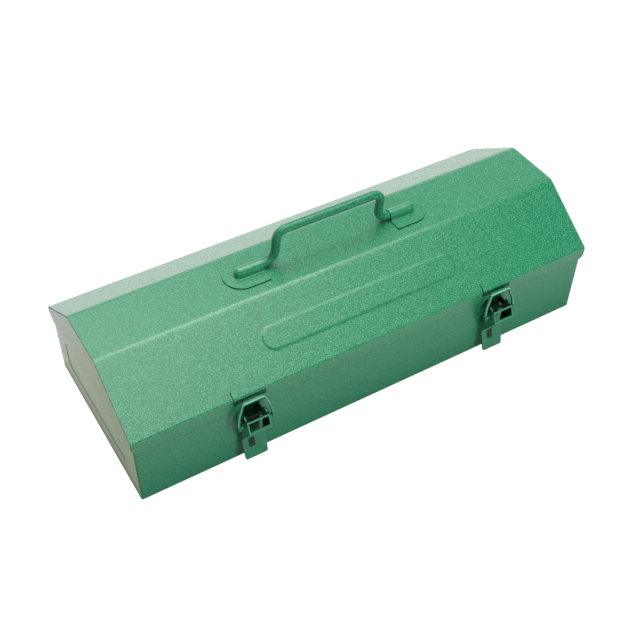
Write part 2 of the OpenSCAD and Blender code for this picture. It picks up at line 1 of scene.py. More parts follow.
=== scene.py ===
"""Steel toolbox: enamelled sheet, wire handle and draw latches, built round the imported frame.

Shapes are worked out in millimetres on numpy grids and put into meshes in metres, in the frame's axes:
+X along the box, -Y out of the front, +Z up.
"""
import json
from math import atan2, cos, pi, radians, sin, tan

import bmesh
import bpy
import numpy as np
from bpy.props import FloatProperty, FloatVectorProperty, PointerProperty
from bpy.types import Operator, Panel, PropertyGroup
from mathutils import Matrix, Vector

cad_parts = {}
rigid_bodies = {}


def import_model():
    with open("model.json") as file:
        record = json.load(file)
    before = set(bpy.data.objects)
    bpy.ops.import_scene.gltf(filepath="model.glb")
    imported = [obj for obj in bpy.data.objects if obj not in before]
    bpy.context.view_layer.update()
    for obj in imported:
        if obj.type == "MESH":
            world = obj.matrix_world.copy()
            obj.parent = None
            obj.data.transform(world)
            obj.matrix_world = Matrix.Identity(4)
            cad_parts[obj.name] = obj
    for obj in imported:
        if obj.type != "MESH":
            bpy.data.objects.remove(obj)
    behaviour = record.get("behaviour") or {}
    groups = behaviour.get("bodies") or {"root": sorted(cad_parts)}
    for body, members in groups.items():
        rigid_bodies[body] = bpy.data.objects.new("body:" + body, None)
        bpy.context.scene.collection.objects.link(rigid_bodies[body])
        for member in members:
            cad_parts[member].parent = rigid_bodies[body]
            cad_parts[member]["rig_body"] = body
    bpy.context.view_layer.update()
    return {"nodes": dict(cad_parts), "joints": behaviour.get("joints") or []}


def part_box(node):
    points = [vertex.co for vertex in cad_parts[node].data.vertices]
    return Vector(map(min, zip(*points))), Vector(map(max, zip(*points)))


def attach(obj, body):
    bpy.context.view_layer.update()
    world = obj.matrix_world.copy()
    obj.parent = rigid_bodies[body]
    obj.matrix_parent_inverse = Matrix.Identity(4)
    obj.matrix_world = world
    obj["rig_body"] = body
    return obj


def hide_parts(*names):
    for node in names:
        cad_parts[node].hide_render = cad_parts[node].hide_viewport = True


bl_info = {
    "name": "Steel toolbox",
    "version": (1, 0, 0),
    "blender": (4, 5, 0),
    "location": "3D View > Sidebar > Toolbox",
    "description": "Builds the visible pieces of a hip-roofed steel toolbox round its packed frame",
    "category": "Object",
}

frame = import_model()
MM = 0.001
# Points that lie closer together than this, in metres, become one.
MERGE = 2e-6
SIDES = {"left": -1, "right": 1}
PAINT_SLOT = "hammered_green_paint"
HARDWARE_SLOT = "green_painted_hardware"


def node_box(node):
    """Lowest and highest corner of a frame node, in millimetres."""
    low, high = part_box(node)
    return np.array(low) / MM, np.array(high) / MM


LID_LOW, LID_HIGH = node_box("lid_wrap")
CASE_LOW, CASE_HIGH = node_box("body_wrap")
END_HIGH = node_box("body_end_right")[1]


def linear(code):
    """Linear red, green, blue and alpha of an sRGB hex colour."""
    parts = np.array([int(code[i:i + 2], 16) for i in (1, 3, 5)]) / 255
    flat = np.where(parts <= 0.04045, parts / 12.92, ((parts + 0.055) / 1.055) ** 2.4)
    return (*flat.tolist(), 1.0)


def length(label, about, size):
    """A length property with its default in millimetres."""
    return FloatProperty(name=label, description=about, default=size * MM, min=0, unit="LENGTH", precision=5)


def angle(label, about, degrees):
    """An angle property with its default in degrees."""
    return FloatProperty(name=label, description=about, default=radians(degrees), unit="ROTATION")


def colour(label, about, code):
    """A colour property with its default as an sRGB hex value."""
    return FloatVectorProperty(name=label, description=about, default=linear(code), size=4, subtype="COLOR",
                               min=0, max=1)


class ToolboxLid(PropertyGroup):
    """Sizes of the folded lid."""
    sheet: length("Sheet", "Thickness of the steel sheet", 0.8)
    top: length("Flat top", "Width of the flat top between its fold lines", 44.5)
    edge: length("Lower fold", "Height of the fold between skirt and slope", 60)
    roof_bend: length("Roof bend", "Outer radius of the folds at the flat top", 8)
    skirt_bend: length("Skirt bend", "Outer radius of the folds above the skirts", 2)
    corner: length("Skirt corner", "Radius of the skirts' lower corners", 5)
    panel_length: length("Panel length", "Length of the raised panel on the front slope", 152)
    panel_width: length("Panel width", "Width of the raised panel, up the slope", 18)
    panel_drop: length("Panel drop", "Distance from the upper fold to the panel's middle", 29)
    panel_rise: length("Panel rise", "How far the panel stands out of the slope", 0.8)
    panel_shoulder: length("Panel shoulder", "Width of the soft step round the panel", 1.6)
    flange: length("Flange", "Width of the flange inside each lid end", 8)


class ToolboxCase(PropertyGroup):
    """Sizes of the case."""
    bend: length("Edge radius", "Outer radius of the case's edges", 1.5)
    hem: length("Hem", "Height of the folded hem inside the rim", 6)
    hem_bend: length("Hem bend", "Outer radius of the hem's fold", 0.95)
    recess_length: length("Recess length", "Length of the recess in each end", 100)
    recess_height: length("Recess height", "Height of the recess", 24)
    recess_low: length("Recess place", "Height of the recess above the underside", 18)
    recess_depth: length("Recess depth", "Depth of the recess", 0.45)
    recess_corner: length("Recess corner", "Corner radius of the recess", 6)
    recess_shoulder: length("Recess shoulder", "Width of the soft step round the recess", 1.5)


class ToolboxHandle(PropertyGroup):
    """Sizes of the wire handle and its brackets."""
    wire: length("Wire", "Radius of the handle wire", 3.1)
    grip: length("Grip height", "Height of the grip above its pivots, along the legs", 26.5)
    lean: angle("Lean", "How far the handle leans to the front", 7)
    leg_lean: angle("Leg lean", "How far the legs lean in", 1)
    foot: length("Foot place", "Distance from the middle to the bend at each foot", 50)
    pivot: length("Pivot length", "Length of each pivot, from its bend to its round end", 20)
    foot_bend: length("Foot bend", "Bend radius at the feet, on the wire's axis", 9.3)
    grip_bend: length("Grip bend", "Bend radius at the grip, on the wire's axis", 7)
    lift: length("Lift", "Gap between the wire and the flat top", 0.3)
    plate: length("Plate", "Thickness of the bracket sheet", 0.9)
    plate_half: length("Plate half width", "Half width of a bracket and radius of its outer end", 13.5)
    plate_length: length("Plate length", "Length of a bracket", 28.7)
    fillet: length("Fillet", "Radius of the pressed fillet beside the tunnel", 0.9)


class ToolboxLatch(PropertyGroup):
    """Sizes of the bails and of the softened edges of the latch and hinge pieces."""
    strip: length("Strip width", "Width of the bail strip, front to back", 2.4)
    strip_thick: length("Strip thickness", "Thickness of the bail strip", 1.5)
    strip_bend: length("Strip bend", "Bend radius of the bail's corners on the strip's middle", 2)
    bar: length("Bar width", "Width of the bail at its top bar", 17)
    bar_height: length("Bar height", "Height of the bail's bar above its pivots", 19.55)
    bail_lean: angle("Bail lean", "How far the bail leans to the front", -7.35)
    eye: length("Eye", "Radius of the eye at each end of the bail", 1.8)
    arm_waist: length("Arm waist", "How far the arms have come in at a little over half the height", 1.3)
    arm_shoulder: length("Arm shoulder", "How far the arms have come in at three quarters of the height", 3.2)
    stub: length("Stub", "Radius of the stub that turns in the lever", 1.2)
    stub_place: length("Stub place", "Distance from the latch's middle to the end of a stub", 7.1)
    tab_top: length("Tab top", "Height of the top of the pull tabs, above which the levers are open", 22.5)
    edge: length("Soft edge", "Width of the rounded edges of small sheet pieces", 0.3)


class ToolboxPaint(PropertyGroup):
    """Colours of the finishes."""
    body: colour("Enamel", "Main colour of the hammered enamel", "#27855D")
    deep: colour("Enamel in hollows", "Colour where the enamel pools in the hollows", "#12724D")
    # Partly the paint's own lighter tone and partly painted glint: the lighter islands of the speckle stand
    # in for dimples catching the light.
    pale_tone_and_glint: colour("Enamel on ridges", "Colour where the enamel is thin on the ridges", "#59AD83")
    zinc: colour("Zinc", "Colour of the zinc-plated pins", "#B9BCBE")
    smooth: colour("Smooth enamel", "Colour of levers and hinges, and the handle's middle tone", "#1F7C57")
    # Painted highlight: a light green laid on the levers' rounded edges and the bails' front edges, where
    # glints would fall.
    worn: colour("Worn enamel", "Colour where the enamel is rubbed thin along edges", "#7CC7A2")
    wire: colour("Wire enamel", "Colour of the bails, and of the hollows in the handle's enamel", "#146A4A")
    # Painted shade: the keepers get this dark, dull green below the lid's lower fold, where shade falls.
    keeper: colour("Keeper enamel", "Colour of the plain enamel under the keepers' folds", "#0E4A34")
    # Painted shade: the nearly black green laid where shade falls inside the latches and on cut edges.
    shade: colour("Shaded enamel", "Colour of the thin dark enamel inside the latches", "#06251A")
    floor: colour("Floor", "Colour of the floor", "#A4A4A4")
    warm: colour("Mirrored floor", "Colour of the floor beside the box, as the box mirrors it", "#FFFEEA")


GROUPS = {
    "toolbox_lid": ToolboxLid, "toolbox_case": ToolboxCase, "toolbox_handle": ToolboxHandle,
    "toolbox_latch": ToolboxLatch, "toolbox_paint": ToolboxPaint,
}


def sizes(group):
    """The lengths of a property group in millimetres and its angles in radians, by name."""
    values = {}
    for key in group.__annotations__:
        unit = group.bl_rna.properties[key].unit
        values[key] = getattr(group, key) / (MM if unit == "LENGTH" else 1)
    return values


# Shapes

def inset(path, t):
    """A line moved to its right by t: each corner goes along the sum of its two normals, over 1 plus their
    product."""
    run = np.diff(path, axis=0)
    right = np.stack([run[:, 1], -run[:, 0]], 1) / np.linalg.norm(run, axis=1)[:, None]
    before = np.vstack([right[:1], right])
    after = np.vstack([right, right[-1:]])
    return path + t * (before + after) / (1 + (before * after).sum(1, keepdims=True))


def inset_ring(ring, t):
    """A closed outline of corners moved to its right by t."""
    wrapped = np.vstack([ring[-1:], ring, ring[:1]])
    return inset(wrapped, t)[1:-1]


def rounded(path, radii, steps=8, support=0.4):
    """A line with its corners bent. Each bend is an arc that touches both runs, with a point just before and
    after it that keeps the runs flat."""
    parts = [path[:1]]
    for before, corner, after, r in zip(path[:-2], path[1:-1], path[2:], radii[1:-1]):
        if r == 0:
            parts.append(corner[None])
            continue
        a = (corner - before) / np.linalg.norm(corner - before)
        b = (after - corner) / np.linalg.norm(after - corner)
        turn = atan2(a[0] * b[1] - a[1] * b[0], float(a @ b))
        side = np.array([-a[1], a[0]]) * np.sign(turn)
        centre = corner - r * tan(abs(turn) / 2) * a + r * side
        t = np.linspace(0, abs(turn), steps + 1)[:, None]
        arc = centre - r * side * np.cos(t) + r * a * np.sin(t)
        parts.append(np.vstack([arc[:1] - support * a, arc, arc[-1:] + support * b]))
    parts.append(path[-1:])
    return np.vstack(parts)


def rounded_ring(corners, radii, steps=8):
    """A closed outline with an arc at each corner, from the line that runs once round it."""
    ring = np.vstack([corners[-1:], corners, corners[:1]])
    return rounded(ring, [0, *radii, 0], steps, support=0)[1:-1]


def rect_ring(half, low, high, r, steps=6):
    """A rectangle with round corners as a ring of (y, z) points, the same number for any size."""
    t = np.linspace(0, pi / 2, steps + 1)
    quarter = np.stack([np.cos(t), np.sin(t)], 1)
    turns = [quarter, quarter[::-1] * (-1, 1), quarter * (-1, -1), quarter[::-1] * (1, -1)]
    middles = [(half - r, high - r), (r - half, high - r), (r - half, low + r), (half - r, low + r)]
    return np.vstack([middle + r * turn for middle, turn in zip(middles, turns)])


def smooth_step(t):
    """0 below 0, 1 above 1, and 3tt - 2ttt between."""
    t = np.clip(t, 0, 1)
    return t * t * (3 - 2 * t)


def along_x(places, sections):
    """A grid whose rows are sections of (y, z) points, each in the plane of its own x."""
    return np.stack([np.column_stack([np.full(len(section), x), section])
                     for x, section in zip(places, sections)])


def sheet_faces(outer, inner):
    """Grids of a closed sheet: its two faces and the rims that join their borders."""
    borders = (np.s_[0], np.s_[-1], np.s_[:, 0], np.s_[:, -1])
    return [outer, inner] + [np.stack([outer[border], inner[border]]) for border in borders]


def closed_columns(grid):
    """A grid whose last column repeats the first, so that its rows are rings."""
    return np.concatenate([grid, grid[:, :1]], 1)


def to_pole(grid):
    """A grid with one more row, in which all points lie at the middle of the last row."""
    middle = np.broadcast_to(grid[-1:].mean(1, keepdims=True), grid[-1:].shape)
    return np.concatenate([grid, middle])


def carried(path, profile, ends):
    """A closed profile carried along a flat line: point = path + p * normal + q * across for each (p, q).
    Each row of ends is (advance, scale): how far beyond the line's end the profile goes, and its size
    there."""
    ahead = np.gradient(path, axis=0)
    ahead = ahead / np.linalg.norm(ahead, axis=1, keepdims=True)
    advance, scale = np.array(ends).T
    first = (path[0] - advance[:, None] * ahead[0])[::-1]
    last = path[-1] + advance[:, None] * ahead[-1]
    size = np.concatenate([scale[::-1], np.ones(len(path)), scale])
    path = np.vstack([first, path, last])
    ahead = np.vstack([np.repeat(ahead[:1], len(ends), 0), ahead, np.repeat(ahead[-1:], len(ends), 0)])
    normal = np.stack([-ahead[:, 1], ahead[:, 0]], 1)
    flat = path[:, None, :] + profile[None, :, :1] * normal[:, None, :] * size[:, None, None]
    across = size[:, None, None] * profile[None, :, 1:]
    return closed_columns(np.concatenate([flat, across], 2))


def turned(points, axis_y, axis_z, turn):
    """Points turned about the line through (axis_y, axis_z) along X."""
    y = points[..., 1] - axis_y
    z = points[..., 2] - axis_z
    return np.stack([points[..., 0], axis_y + y * cos(turn) - z * sin(turn),
                     axis_z + y * sin(turn) + z * cos(turn)], -1)


def turned_round(r, start, stop, edge=0.2, count=28):
    """A round bar along X: each row is a circle, from the middle of one end over its rounded rim to the
    other's."""
    a = np.linspace(0, 2 * pi, count, endpoint=False)
    inward = edge * np.sign(stop - start)
    rows = [(start, 0), (start, r - edge), (start + inward, r),
            (stop - inward, r), (stop, r - edge), (stop, 0)]
    x, q = np.array(rows).T[:, :, None]
    ring = np.stack(np.broadcast_arrays(x, q * np.cos(a), q * np.sin(a)), -1)
    return closed_columns(ring)


def mesh_of(name, grids):
    """One mesh in metres from grids of points in millimetres. Points that coincide become one, and faces
    point out."""
    points = []
    quads = []
    start = 0
    for grid in grids:
        rows, cols = grid.shape[:2]
        index = start + np.arange(rows * cols).reshape(rows, cols)
        corners = [index[:-1, :-1], index[1:, :-1], index[1:, 1:], index[:-1, 1:]]
        quads.append(np.stack(corners, -1).reshape(-1, 4))
        points.append(grid.reshape(-1, 3))
        start += rows * cols
    mesh = bpy.data.meshes.new(name)
    mesh.from_pydata((np.vstack(points) * MM).tolist(), [], np.vstack(quads).tolist())
    work = bmesh.new()
    work.from_mesh(mesh)
    bmesh.ops.remove_doubles(work, verts=work.verts, dist=MERGE)
    bmesh.ops.dissolve_degenerate(work, edges=work.edges, dist=MERGE / 20)
    bmesh.ops.recalc_face_normals(work, faces=work.faces)
    work.to_mesh(mesh)
    work.free()
    return mesh


def soften(piece, width, worn=None):
    """Rounds the sharp edges of a piece over a width in millimetres and keeps its flat faces flat. The
    rounded edges may carry a painted highlight of their own."""
    piece.data.shade_smooth()
    bevel = piece.modifiers.new("rounded edges", "BEVEL")
    bevel.width = width * MM
    bevel.segments = 2
    bevel.limit_method = "ANGLE"
    bevel.angle_limit = radians(38)
    if worn:
        bevel.material = len(piece.data.materials)
        piece.data.materials.append(worn)
    flat = piece.modifiers.new("flat faces", "WEIGHTED_NORMAL")
    flat.keep_sharp = True


def add_piece(name, mesh, finish, slot, *nodes):
    """Puts a mesh into the scene as the piece that stands for these frame nodes, and rides on their body."""
    piece = bpy.data.objects.new(name, mesh)
    bpy.context.scene.collection.objects.link(piece)
    mesh.materials.clear()
    mesh.materials.append(finish)
    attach(piece, frame["nodes"][nodes[0]]["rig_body"])
    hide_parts(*nodes)
    return piece


def face_values(piece, key):
    """The middles or the normals of a piece's faces, one row each."""
    values = np.empty(3 * len(piece.data.polygons))
    piece.data.polygons.foreach_get(key, values)
    return values.reshape(-1, 3)


def repaint(piece, finish, chosen):
    """Gives the chosen faces of a piece another finish."""
    index = np.empty(len(piece.data.polygons), np.int32)
    piece.data.polygons.foreach_get("material_index", index)
    index[chosen] = len(piece.data.materials)
    piece.data.materials.append(finish)
    piece.data.polygons.foreach_set("material_index", index)


def merged_copy(node, name):
    """A copy of a frame node's mesh with its loose triangles joined and its flat faces made whole."""
    work = bmesh.new()
    work.from_mesh(frame["nodes"][node].data)
    bmesh.ops.remove_doubles(work, verts=work.verts, dist=MERGE)
    bmesh.ops.dissolve_limit(work, angle_limit=radians(0.5), verts=work.verts, edges=work.edges)
    mesh = bpy.data.meshes.new(name)
    work.to_mesh(mesh)
    work.free()
    return mesh


# Finishes

def feed(tree, node, links=None, values=None):
    """Sets the values of a shader node's sockets and links the sockets that feed it."""
    for key, value in (values or {}).items():
        node.inputs[key].default_value = value
    for key, socket in (links or {}).items():
        tree.links.new(socket, node.inputs[key])


def add_node(tree, kind, links=None, values=None, **settings):
    """Adds a shader node with its settings, the values of its sockets and the sockets that feed it."""
    node = tree.nodes.new(kind)
    for key, value in settings.items():
        setattr(node, key, value)
    feed(tree, node, links, values)
    return node


def new_finish(name):
    """The node material of this name, with its shader if it is new and None if it was made before."""
    finish = bpy.data.materials.get(name)
    if finish:
        return finish, None
    finish = bpy.data.materials.new(name)
    finish.use_nodes = True
    return finish, finish.node_tree.nodes["Principled BSDF"]


def light_seen(tree):
    """1 where a ray comes from the camera, a reflection or a transmission."""
    path = add_node(tree, "ShaderNodeLightPath")
    seen = path.outputs["Is Camera Ray"]
    for kind in ("Is Glossy Ray", "Is Transmission Ray"):
        either = add_node(tree, "ShaderNodeMath", {0: seen, 1: path.outputs[kind]}, operation="MAXIMUM")
        seen = either.outputs["Value"]
    return seen


def hammered_enamel(context, name, cell, relief, speckle, tones=("deep", "body", "pale_tone_and_glint"), coat=1.0):
    """Hammer-finish enamel: sprayed paint with metal flake that draws into small cells as it dries, under its
    own clear resin. The eye sees a glossy dimpled skin that mirrors at a flat angle. The lighter islands of
    its speckle are partly the paint's own tone and partly painted glints, where dimples would catch the
    light. A cell's size is in millimetres, and a larger speckle sets the tones further apart."""
    finish, shader = new_finish(name)
    if not shader:
        return finish
    paint = context.scene.toolbox_paint
    tree = finish.node_tree
    per_metre = 1 / (cell * MM)
    dimple = 0.14 * cell * MM
    middle_height = 0.1
    spread = 0.35 / speckle
    place = add_node(tree, "ShaderNodeTexCoord").outputs["Object"]
    wander = add_node(tree, "ShaderNodeTexNoise", {"Vector": place},
                      {"Scale": 0.9 * per_metre, "Detail": 2.0, "Roughness": 0.6})
    cells = add_node(tree, "ShaderNodeTexVoronoi", {"Vector": place}, {"Scale": per_metre, "Smoothness": 0.4},
                     feature="SMOOTH_F1")
    height = add_node(tree, "ShaderNodeMath", {0: wander.outputs["Fac"], 1: cells.outputs["Distance"]},
                      operation="SUBTRACT").outputs["Value"]
    # The higher a spot, the nearer its tone comes to the lightest one: partly the paint's own tone, partly
    # painted glint.
    thin = add_node(tree, "ShaderNodeMapRange", {"Value": height},
                    {"From Min": middle_height - spread, "From Max": middle_height + spread})
    tone = add_node(tree, "ShaderNodeValToRGB", {"Fac": thin.outputs["Result"]})
    hollow, flat, ridge_and_glint = (getattr(paint, key) for key in tones)
    tone.color_ramp.elements[0].color = hollow
    tone.color_ramp.elements[1].color = ridge_and_glint
    tone.color_ramp.elements.new(0.5).color = flat
    bump = add_node(tree, "ShaderNodeBump", {"Height": height}, {"Strength": relief, "Distance": dimple})
    normal = bump.outputs["Normal"]
    feed(tree, shader, {"Base Color": tone.outputs["Color"], "Normal": normal, "Coat Normal": normal},
         {"Roughness": 0.42, "Specular IOR Level": 0.3, "IOR": 1.5,
          "Coat Weight": coat, "Coat Roughness": 0.14, "Coat IOR": 1.5})
    return finish


def lid_enamel(context):
    """The hammered enamel of the lid, with small cells and a strong speckle, whose lighter islands are partly
    painted glints.
    """
    return hammered_enamel(context, "hammered enamel", cell=0.6, relief=0.9, speckle=1.7)


def case_enamel(context):
    """The same enamel on the case and the skirts, with a faint speckle: upright faces get less painted glint
    than the lid.
    """
    return hammered_enamel(context, "case enamel", cell=0.8, relief=0.4, speckle=0.6)


def fine_enamel(context):
    """The same enamel on the handle's brackets, with less painted glint in its speckle than on the lid."""
    return hammered_enamel(context, "fine hammered enamel", cell=0.8, relief=0.6, speckle=0.8)


def wire_enamel(context):
    """The same enamel on the handle's wire, deeper in tone, with a weaker speckle of painted glints and a
    mottled shine along its upper side.
    """
    return hammered_enamel(context, "wire enamel", cell=0.9, relief=0.7, speckle=0.7,
                           tones=("wire", "smooth", "pale_tone_and_glint"), coat=0.45)


def sprayed_enamel(context, name, key, roughness, coat):
    """Enamel sprayed thin on small hardware. The eye sees one green, a little darker where the coat is thick,
    with the faint dimples of orange peel in its shine."""
    finish, shader = new_finish(name)
    if not shader:
        return finish
    tree = finish.node_tree
    paint = np.array(getattr(context.scene.toolbox_paint, key))
    thick = (0.65 * paint).tolist()
    thin = np.minimum(1.35 * paint, 1).tolist()
    cloud = 2.5 * MM
    dimple = 0.6 * MM
    dimple_depth = 0.05 * MM
    place = add_node(tree, "ShaderNodeTexCoord").outputs["Object"]
    drift = add_node(tree, "ShaderNodeTexNoise", {"Vector": place}, {"Scale": 1 / cloud, "Detail": 3.0})
    tone = add_node(tree, "ShaderNodeMix", {0: drift.outputs["Fac"]}, {6: thick, 7: thin}, data_type="RGBA")
    peel = add_node(tree, "ShaderNodeTexNoise", {"Vector": place}, {"Scale": 1 / dimple, "Detail": 1.0})
    bump = add_node(tree, "ShaderNodeBump", {"Height": peel.outputs["Fac"]},
                    {"Strength": 0.3, "Distance": dimple_depth})
    normal = bump.outputs["Normal"]
    feed(tree, shader, {"Base Color": tone.outputs[2], "Normal": normal, "Coat Normal": normal},
         {"Roughness": roughness, "Specular IOR Level": 0.2, "Coat Weight": coat, "Coat Roughness": 0.07})
    return finish


def painted_shade_enamel(context):
    """Painted shade inside the levers, on the latch bases, pins and rivets, and on cut edges, where shade
    falls.
    The eye sees a nearly black green."""
    return sprayed_enamel(context, "thin dark enamel", "shade", roughness=0.55, coat=0.0)


def smooth_enamel(context, key="smooth", coat=1.0):
    """Plain glossy enamel on latches and hinges: a green without cells, with sharp glints on edges."""
    return sprayed_enamel(context, f"{key} enamel", key, roughness=0.4, coat=coat)


def zinc_plate(context):
    """Zinc-plated steel: a dull silver metal with a faint mottle from the plating bath."""
    finish, shader = new_finish("zinc plated steel")
    if not shader:
        return finish
    tree = finish.node_tree
    crystal = 0.8 * MM
    place = add_node(tree, "ShaderNodeTexCoord").outputs["Object"]
    mottle = add_node(tree, "ShaderNodeTexNoise", {"Vector": place}, {"Scale": 1 / crystal, "Detail": 3.0})
    rough = add_node(tree, "ShaderNodeMapRange", {"Value": mottle.outputs["Fac"]},
                     {"To Min": 0.28, "To Max": 0.45})
    feed(tree, shader, {"Roughness": rough.outputs["Result"]},
         {"Base Color": context.scene.toolbox_paint.zinc, "Metallic": 1})
    return finish


# Pieces

def lid_section(lid, slope_points=()):
    """Section of the lid's outer face from the front skirt to the back one as (y, z) corners with their
    bends, the way up the front slope and the slope's length. Extra points lie on the front slope at the given
    distances from its lower fold."""
    half = LID_HIGH[1]
    corners = np.array([(-half, LID_LOW[2]), (-half, lid["edge"]), (-lid["top"] / 2, LID_HIGH[2]),
                        (lid["top"] / 2, LID_HIGH[2]), (half, lid["edge"]), (half, LID_LOW[2])])
    way = corners[2] - corners[1]
    run = np.linalg.norm(way)
    way = way / run
    extra = corners[1] + np.outer(slope_points, way)
    path = np.vstack([corners[:2], extra, corners[2:]])
    bends = np.array([0, lid["skirt_bend"], *[0] * len(extra), lid["roof_bend"], lid["roof_bend"],
                      lid["skirt_bend"], 0])
    return path, bends, way, run


class TOOLBOX_OT_lid_sheet(Operator):
    """Build the lid's folded sheet with its raised panel"""
    bl_idname = "toolbox.lid_sheet"
    bl_label = "Lid sheet"

    def execute(self, context):
        """P(x, s) = section(s) + normal * rise, where rise is a smooth step of the depth inside a round-ended
        panel. The skirts end at a height that follows a quarter circle near the lid's ends."""
        lid = sizes(context.scene.toolbox_lid)
        slope = lid_section(lid)[-1]
        panel_at = slope - lid["panel_drop"]
        reach = lid["panel_width"] / 2 + lid["panel_shoulder"]
        path, bends, way, _ = lid_section(lid, np.linspace(panel_at - reach, panel_at + reach, 45))
        outer = rounded(path, bends)
        inner = rounded(inset(path, lid["sheet"]), np.maximum(bends - lid["sheet"], 0))
        x = self.columns(lid)

        up = np.clip((outer - path[1]) @ way, 0, slope)
        on_front = (outer[:, 0] < -lid["top"] / 2) & (outer[:, 1] > lid["edge"])
        beyond = np.maximum(np.abs(x) - (lid["panel_length"] - lid["panel_width"]) / 2, 0)
        depth = lid["panel_width"] / 2 - np.hypot(beyond[:, None], up[None, :] - panel_at)
        rise = lid["panel_rise"] * smooth_step(depth / lid["panel_shoulder"]) * on_front

        normal = np.array([-way[1], way[0]])
        over = np.clip(np.abs(x) - (LID_HIGH[0] - lid["corner"]), 0, lid["corner"])
        low = LID_LOW[2] + lid["corner"] - np.sqrt(lid["corner"] ** 2 - over ** 2)
        faces = []
        for section in (outer, inner):
            sections = section[None] + rise[..., None] * normal
            sections[:, [0, -1], 1] = low[:, None]
            faces.append(along_x(x, sections))
        piece = add_piece("lid_sheet", mesh_of("lid_sheet", sheet_faces(*faces)), lid_enamel(context),
                          PAINT_SLOT, "lid_wrap")
        self.paint_skirts(context, piece)
        soften(piece, width=0.3)
        return {"FINISHED"}

    def columns(self, lid):
        """Places of the grid's columns along X: wide apart over the panel's middle, close together at its
        round ends and at the skirts' corners, and the same on both sides."""
        margin = 2
        round_from = (lid["panel_length"] - lid["panel_width"]) / 2 - margin
        round_to = lid["panel_length"] / 2 + lid["panel_shoulder"]
        corner = LID_HIGH[0] - lid["corner"] * (1 - np.sin(np.linspace(0, pi / 2, 8)))
        right = np.concatenate([np.linspace(0, round_from, 7)[1:], np.linspace(round_from, round_to, 27)[1:],
                                np.linspace(round_to, corner[0], 10)[1:], corner[1:]])
        return np.concatenate([-right[::-1], [0], right])

    def paint_skirts(self, context, piece):
        """The upright skirts have the case's fainter speckle, with less painted glint, and the cut ends are
        painted shade.
        """
        facing = np.abs(face_values(piece, "normal"))
        upright = facing[:, 1] > 0.95
        cut = facing[:, 0] > 0.9
        repaint(piece, case_enamel(context), upright)
        # Painted shade: the sheet's cut ends get a nearly black green.
        repaint(piece, painted_shade_enamel(context), cut)


class TOOLBOX_OT_lid_ends(Operator):
    """Build the two plates that close the lid, with their flanges"""
    bl_idname = "toolbox.lid_ends"
    bl_label = "Lid ends"

    def execute(self, context):
        """Each plate is its outline carried over a rounded border: inset and depth go round a quarter circle,
        then to the outline's middle on both faces. The flange is a folded strip carried along X."""
        lid = sizes(context.scene.toolbox_lid)
        sheet = lid["sheet"]
        seam = 0.06
        border = 0.45
        least_bend = 0.05
        path, bends, _, _ = lid_section(lid)
        outline = inset(path, sheet + seam)
        inner_bends = np.maximum(bends - sheet - seam, 0)
        inner_bends[[0, -1]] = lid["corner"]
        t = np.linspace(0, pi / 2, 6)
        back_row = (0, sheet)
        front_rows = [back_row, *zip(border * (1 - np.cos(t)), border * (1 - np.sin(t)))]
        strips = self.flange_strips(lid, path)
        for side, sign in SIDES.items():
            grids = []
            for rows in (front_rows, [back_row]):
                rings = [rounded_ring(inset_ring(outline, d), np.maximum(inner_bends - d, least_bend))
                         for d, _ in rows]
                face = along_x([sign * (LID_HIGH[0] - depth) for _, depth in rows], rings)
                grids.append(closed_columns(to_pole(face)))
            x = sign * (LID_HIGH[0] - np.array([lid["flange"], sheet / 2]))
            flange = sheet_faces(*[along_x(x, [strip] * len(x)) for strip in strips])
            name = f"lid_end_plate_{side}"
            piece = add_piece(name, mesh_of(name, grids + flange), lid_enamel(context), PAINT_SLOT,
                              f"lid_end_{side}")
            soften(piece, width=0.15)
        return {"FINISHED"}

    def flange_strips(self, lid, path):
        """Outer and inner line of the flange, which follows the roof from a little above its lower folds."""
        sheet = lid["sheet"]
        gap = 0.1
        fold = inset(path, sheet + gap)[1:-1]
        up = (fold[1] - fold[0]) / np.linalg.norm(fold[1] - fold[0]) * 3 * lid["skirt_bend"]
        fold[0] = fold[0] + up
        fold[-1] = fold[-1] + up * (-1, 1)
        bend = lid["roof_bend"] - sheet - gap
        return [rounded(fold, [0, bend, bend, 0]),
                rounded(inset(fold, sheet), [0, bend - sheet, bend - sheet, 0])]


class TOOLBOX_OT_case_sheet(Operator):
    """Build the case's folded sheet with its hems"""
    bl_idname = "toolbox.case_sheet"
    bl_label = "Case sheet"

    def execute(self, context):
        """One section, from the hem inside the back rim down the wall, under the floor and up to the front
        hem, carried along X."""
        case = sizes(context.scene.toolbox_case)
        sheet = context.scene.toolbox_lid.sheet / MM
        wall = CASE_HIGH[1]
        rim = CASE_HIGH[2]
        least_bend = 0.02
        hem_y = wall - 2 * case["hem_bend"]
        half = np.array([(hem_y, rim - case["hem"]), (hem_y, rim), (wall, rim), (wall, 0)])
        path = np.vstack([half, half[::-1] * (-1, 1)])
        bends = np.array([0, case["hem_bend"], case["hem_bend"], case["bend"]])
        bends = np.concatenate([bends, bends[::-1]])
        outer = rounded(path, bends, support=0.3)
        inner = rounded(inset(path, sheet), np.maximum(bends - sheet, least_bend), support=0.3)
        x = np.linspace(CASE_LOW[0], CASE_HIGH[0], 25)
        faces = [along_x(x, [section] * len(x)) for section in (outer, inner)]
        piece = add_piece("case_sheet", mesh_of("case_sheet", sheet_faces(*faces)), case_enamel(context),
                          PAINT_SLOT, "body_wrap")
        soften(piece, width=0.05)
        return {"FINISHED"}


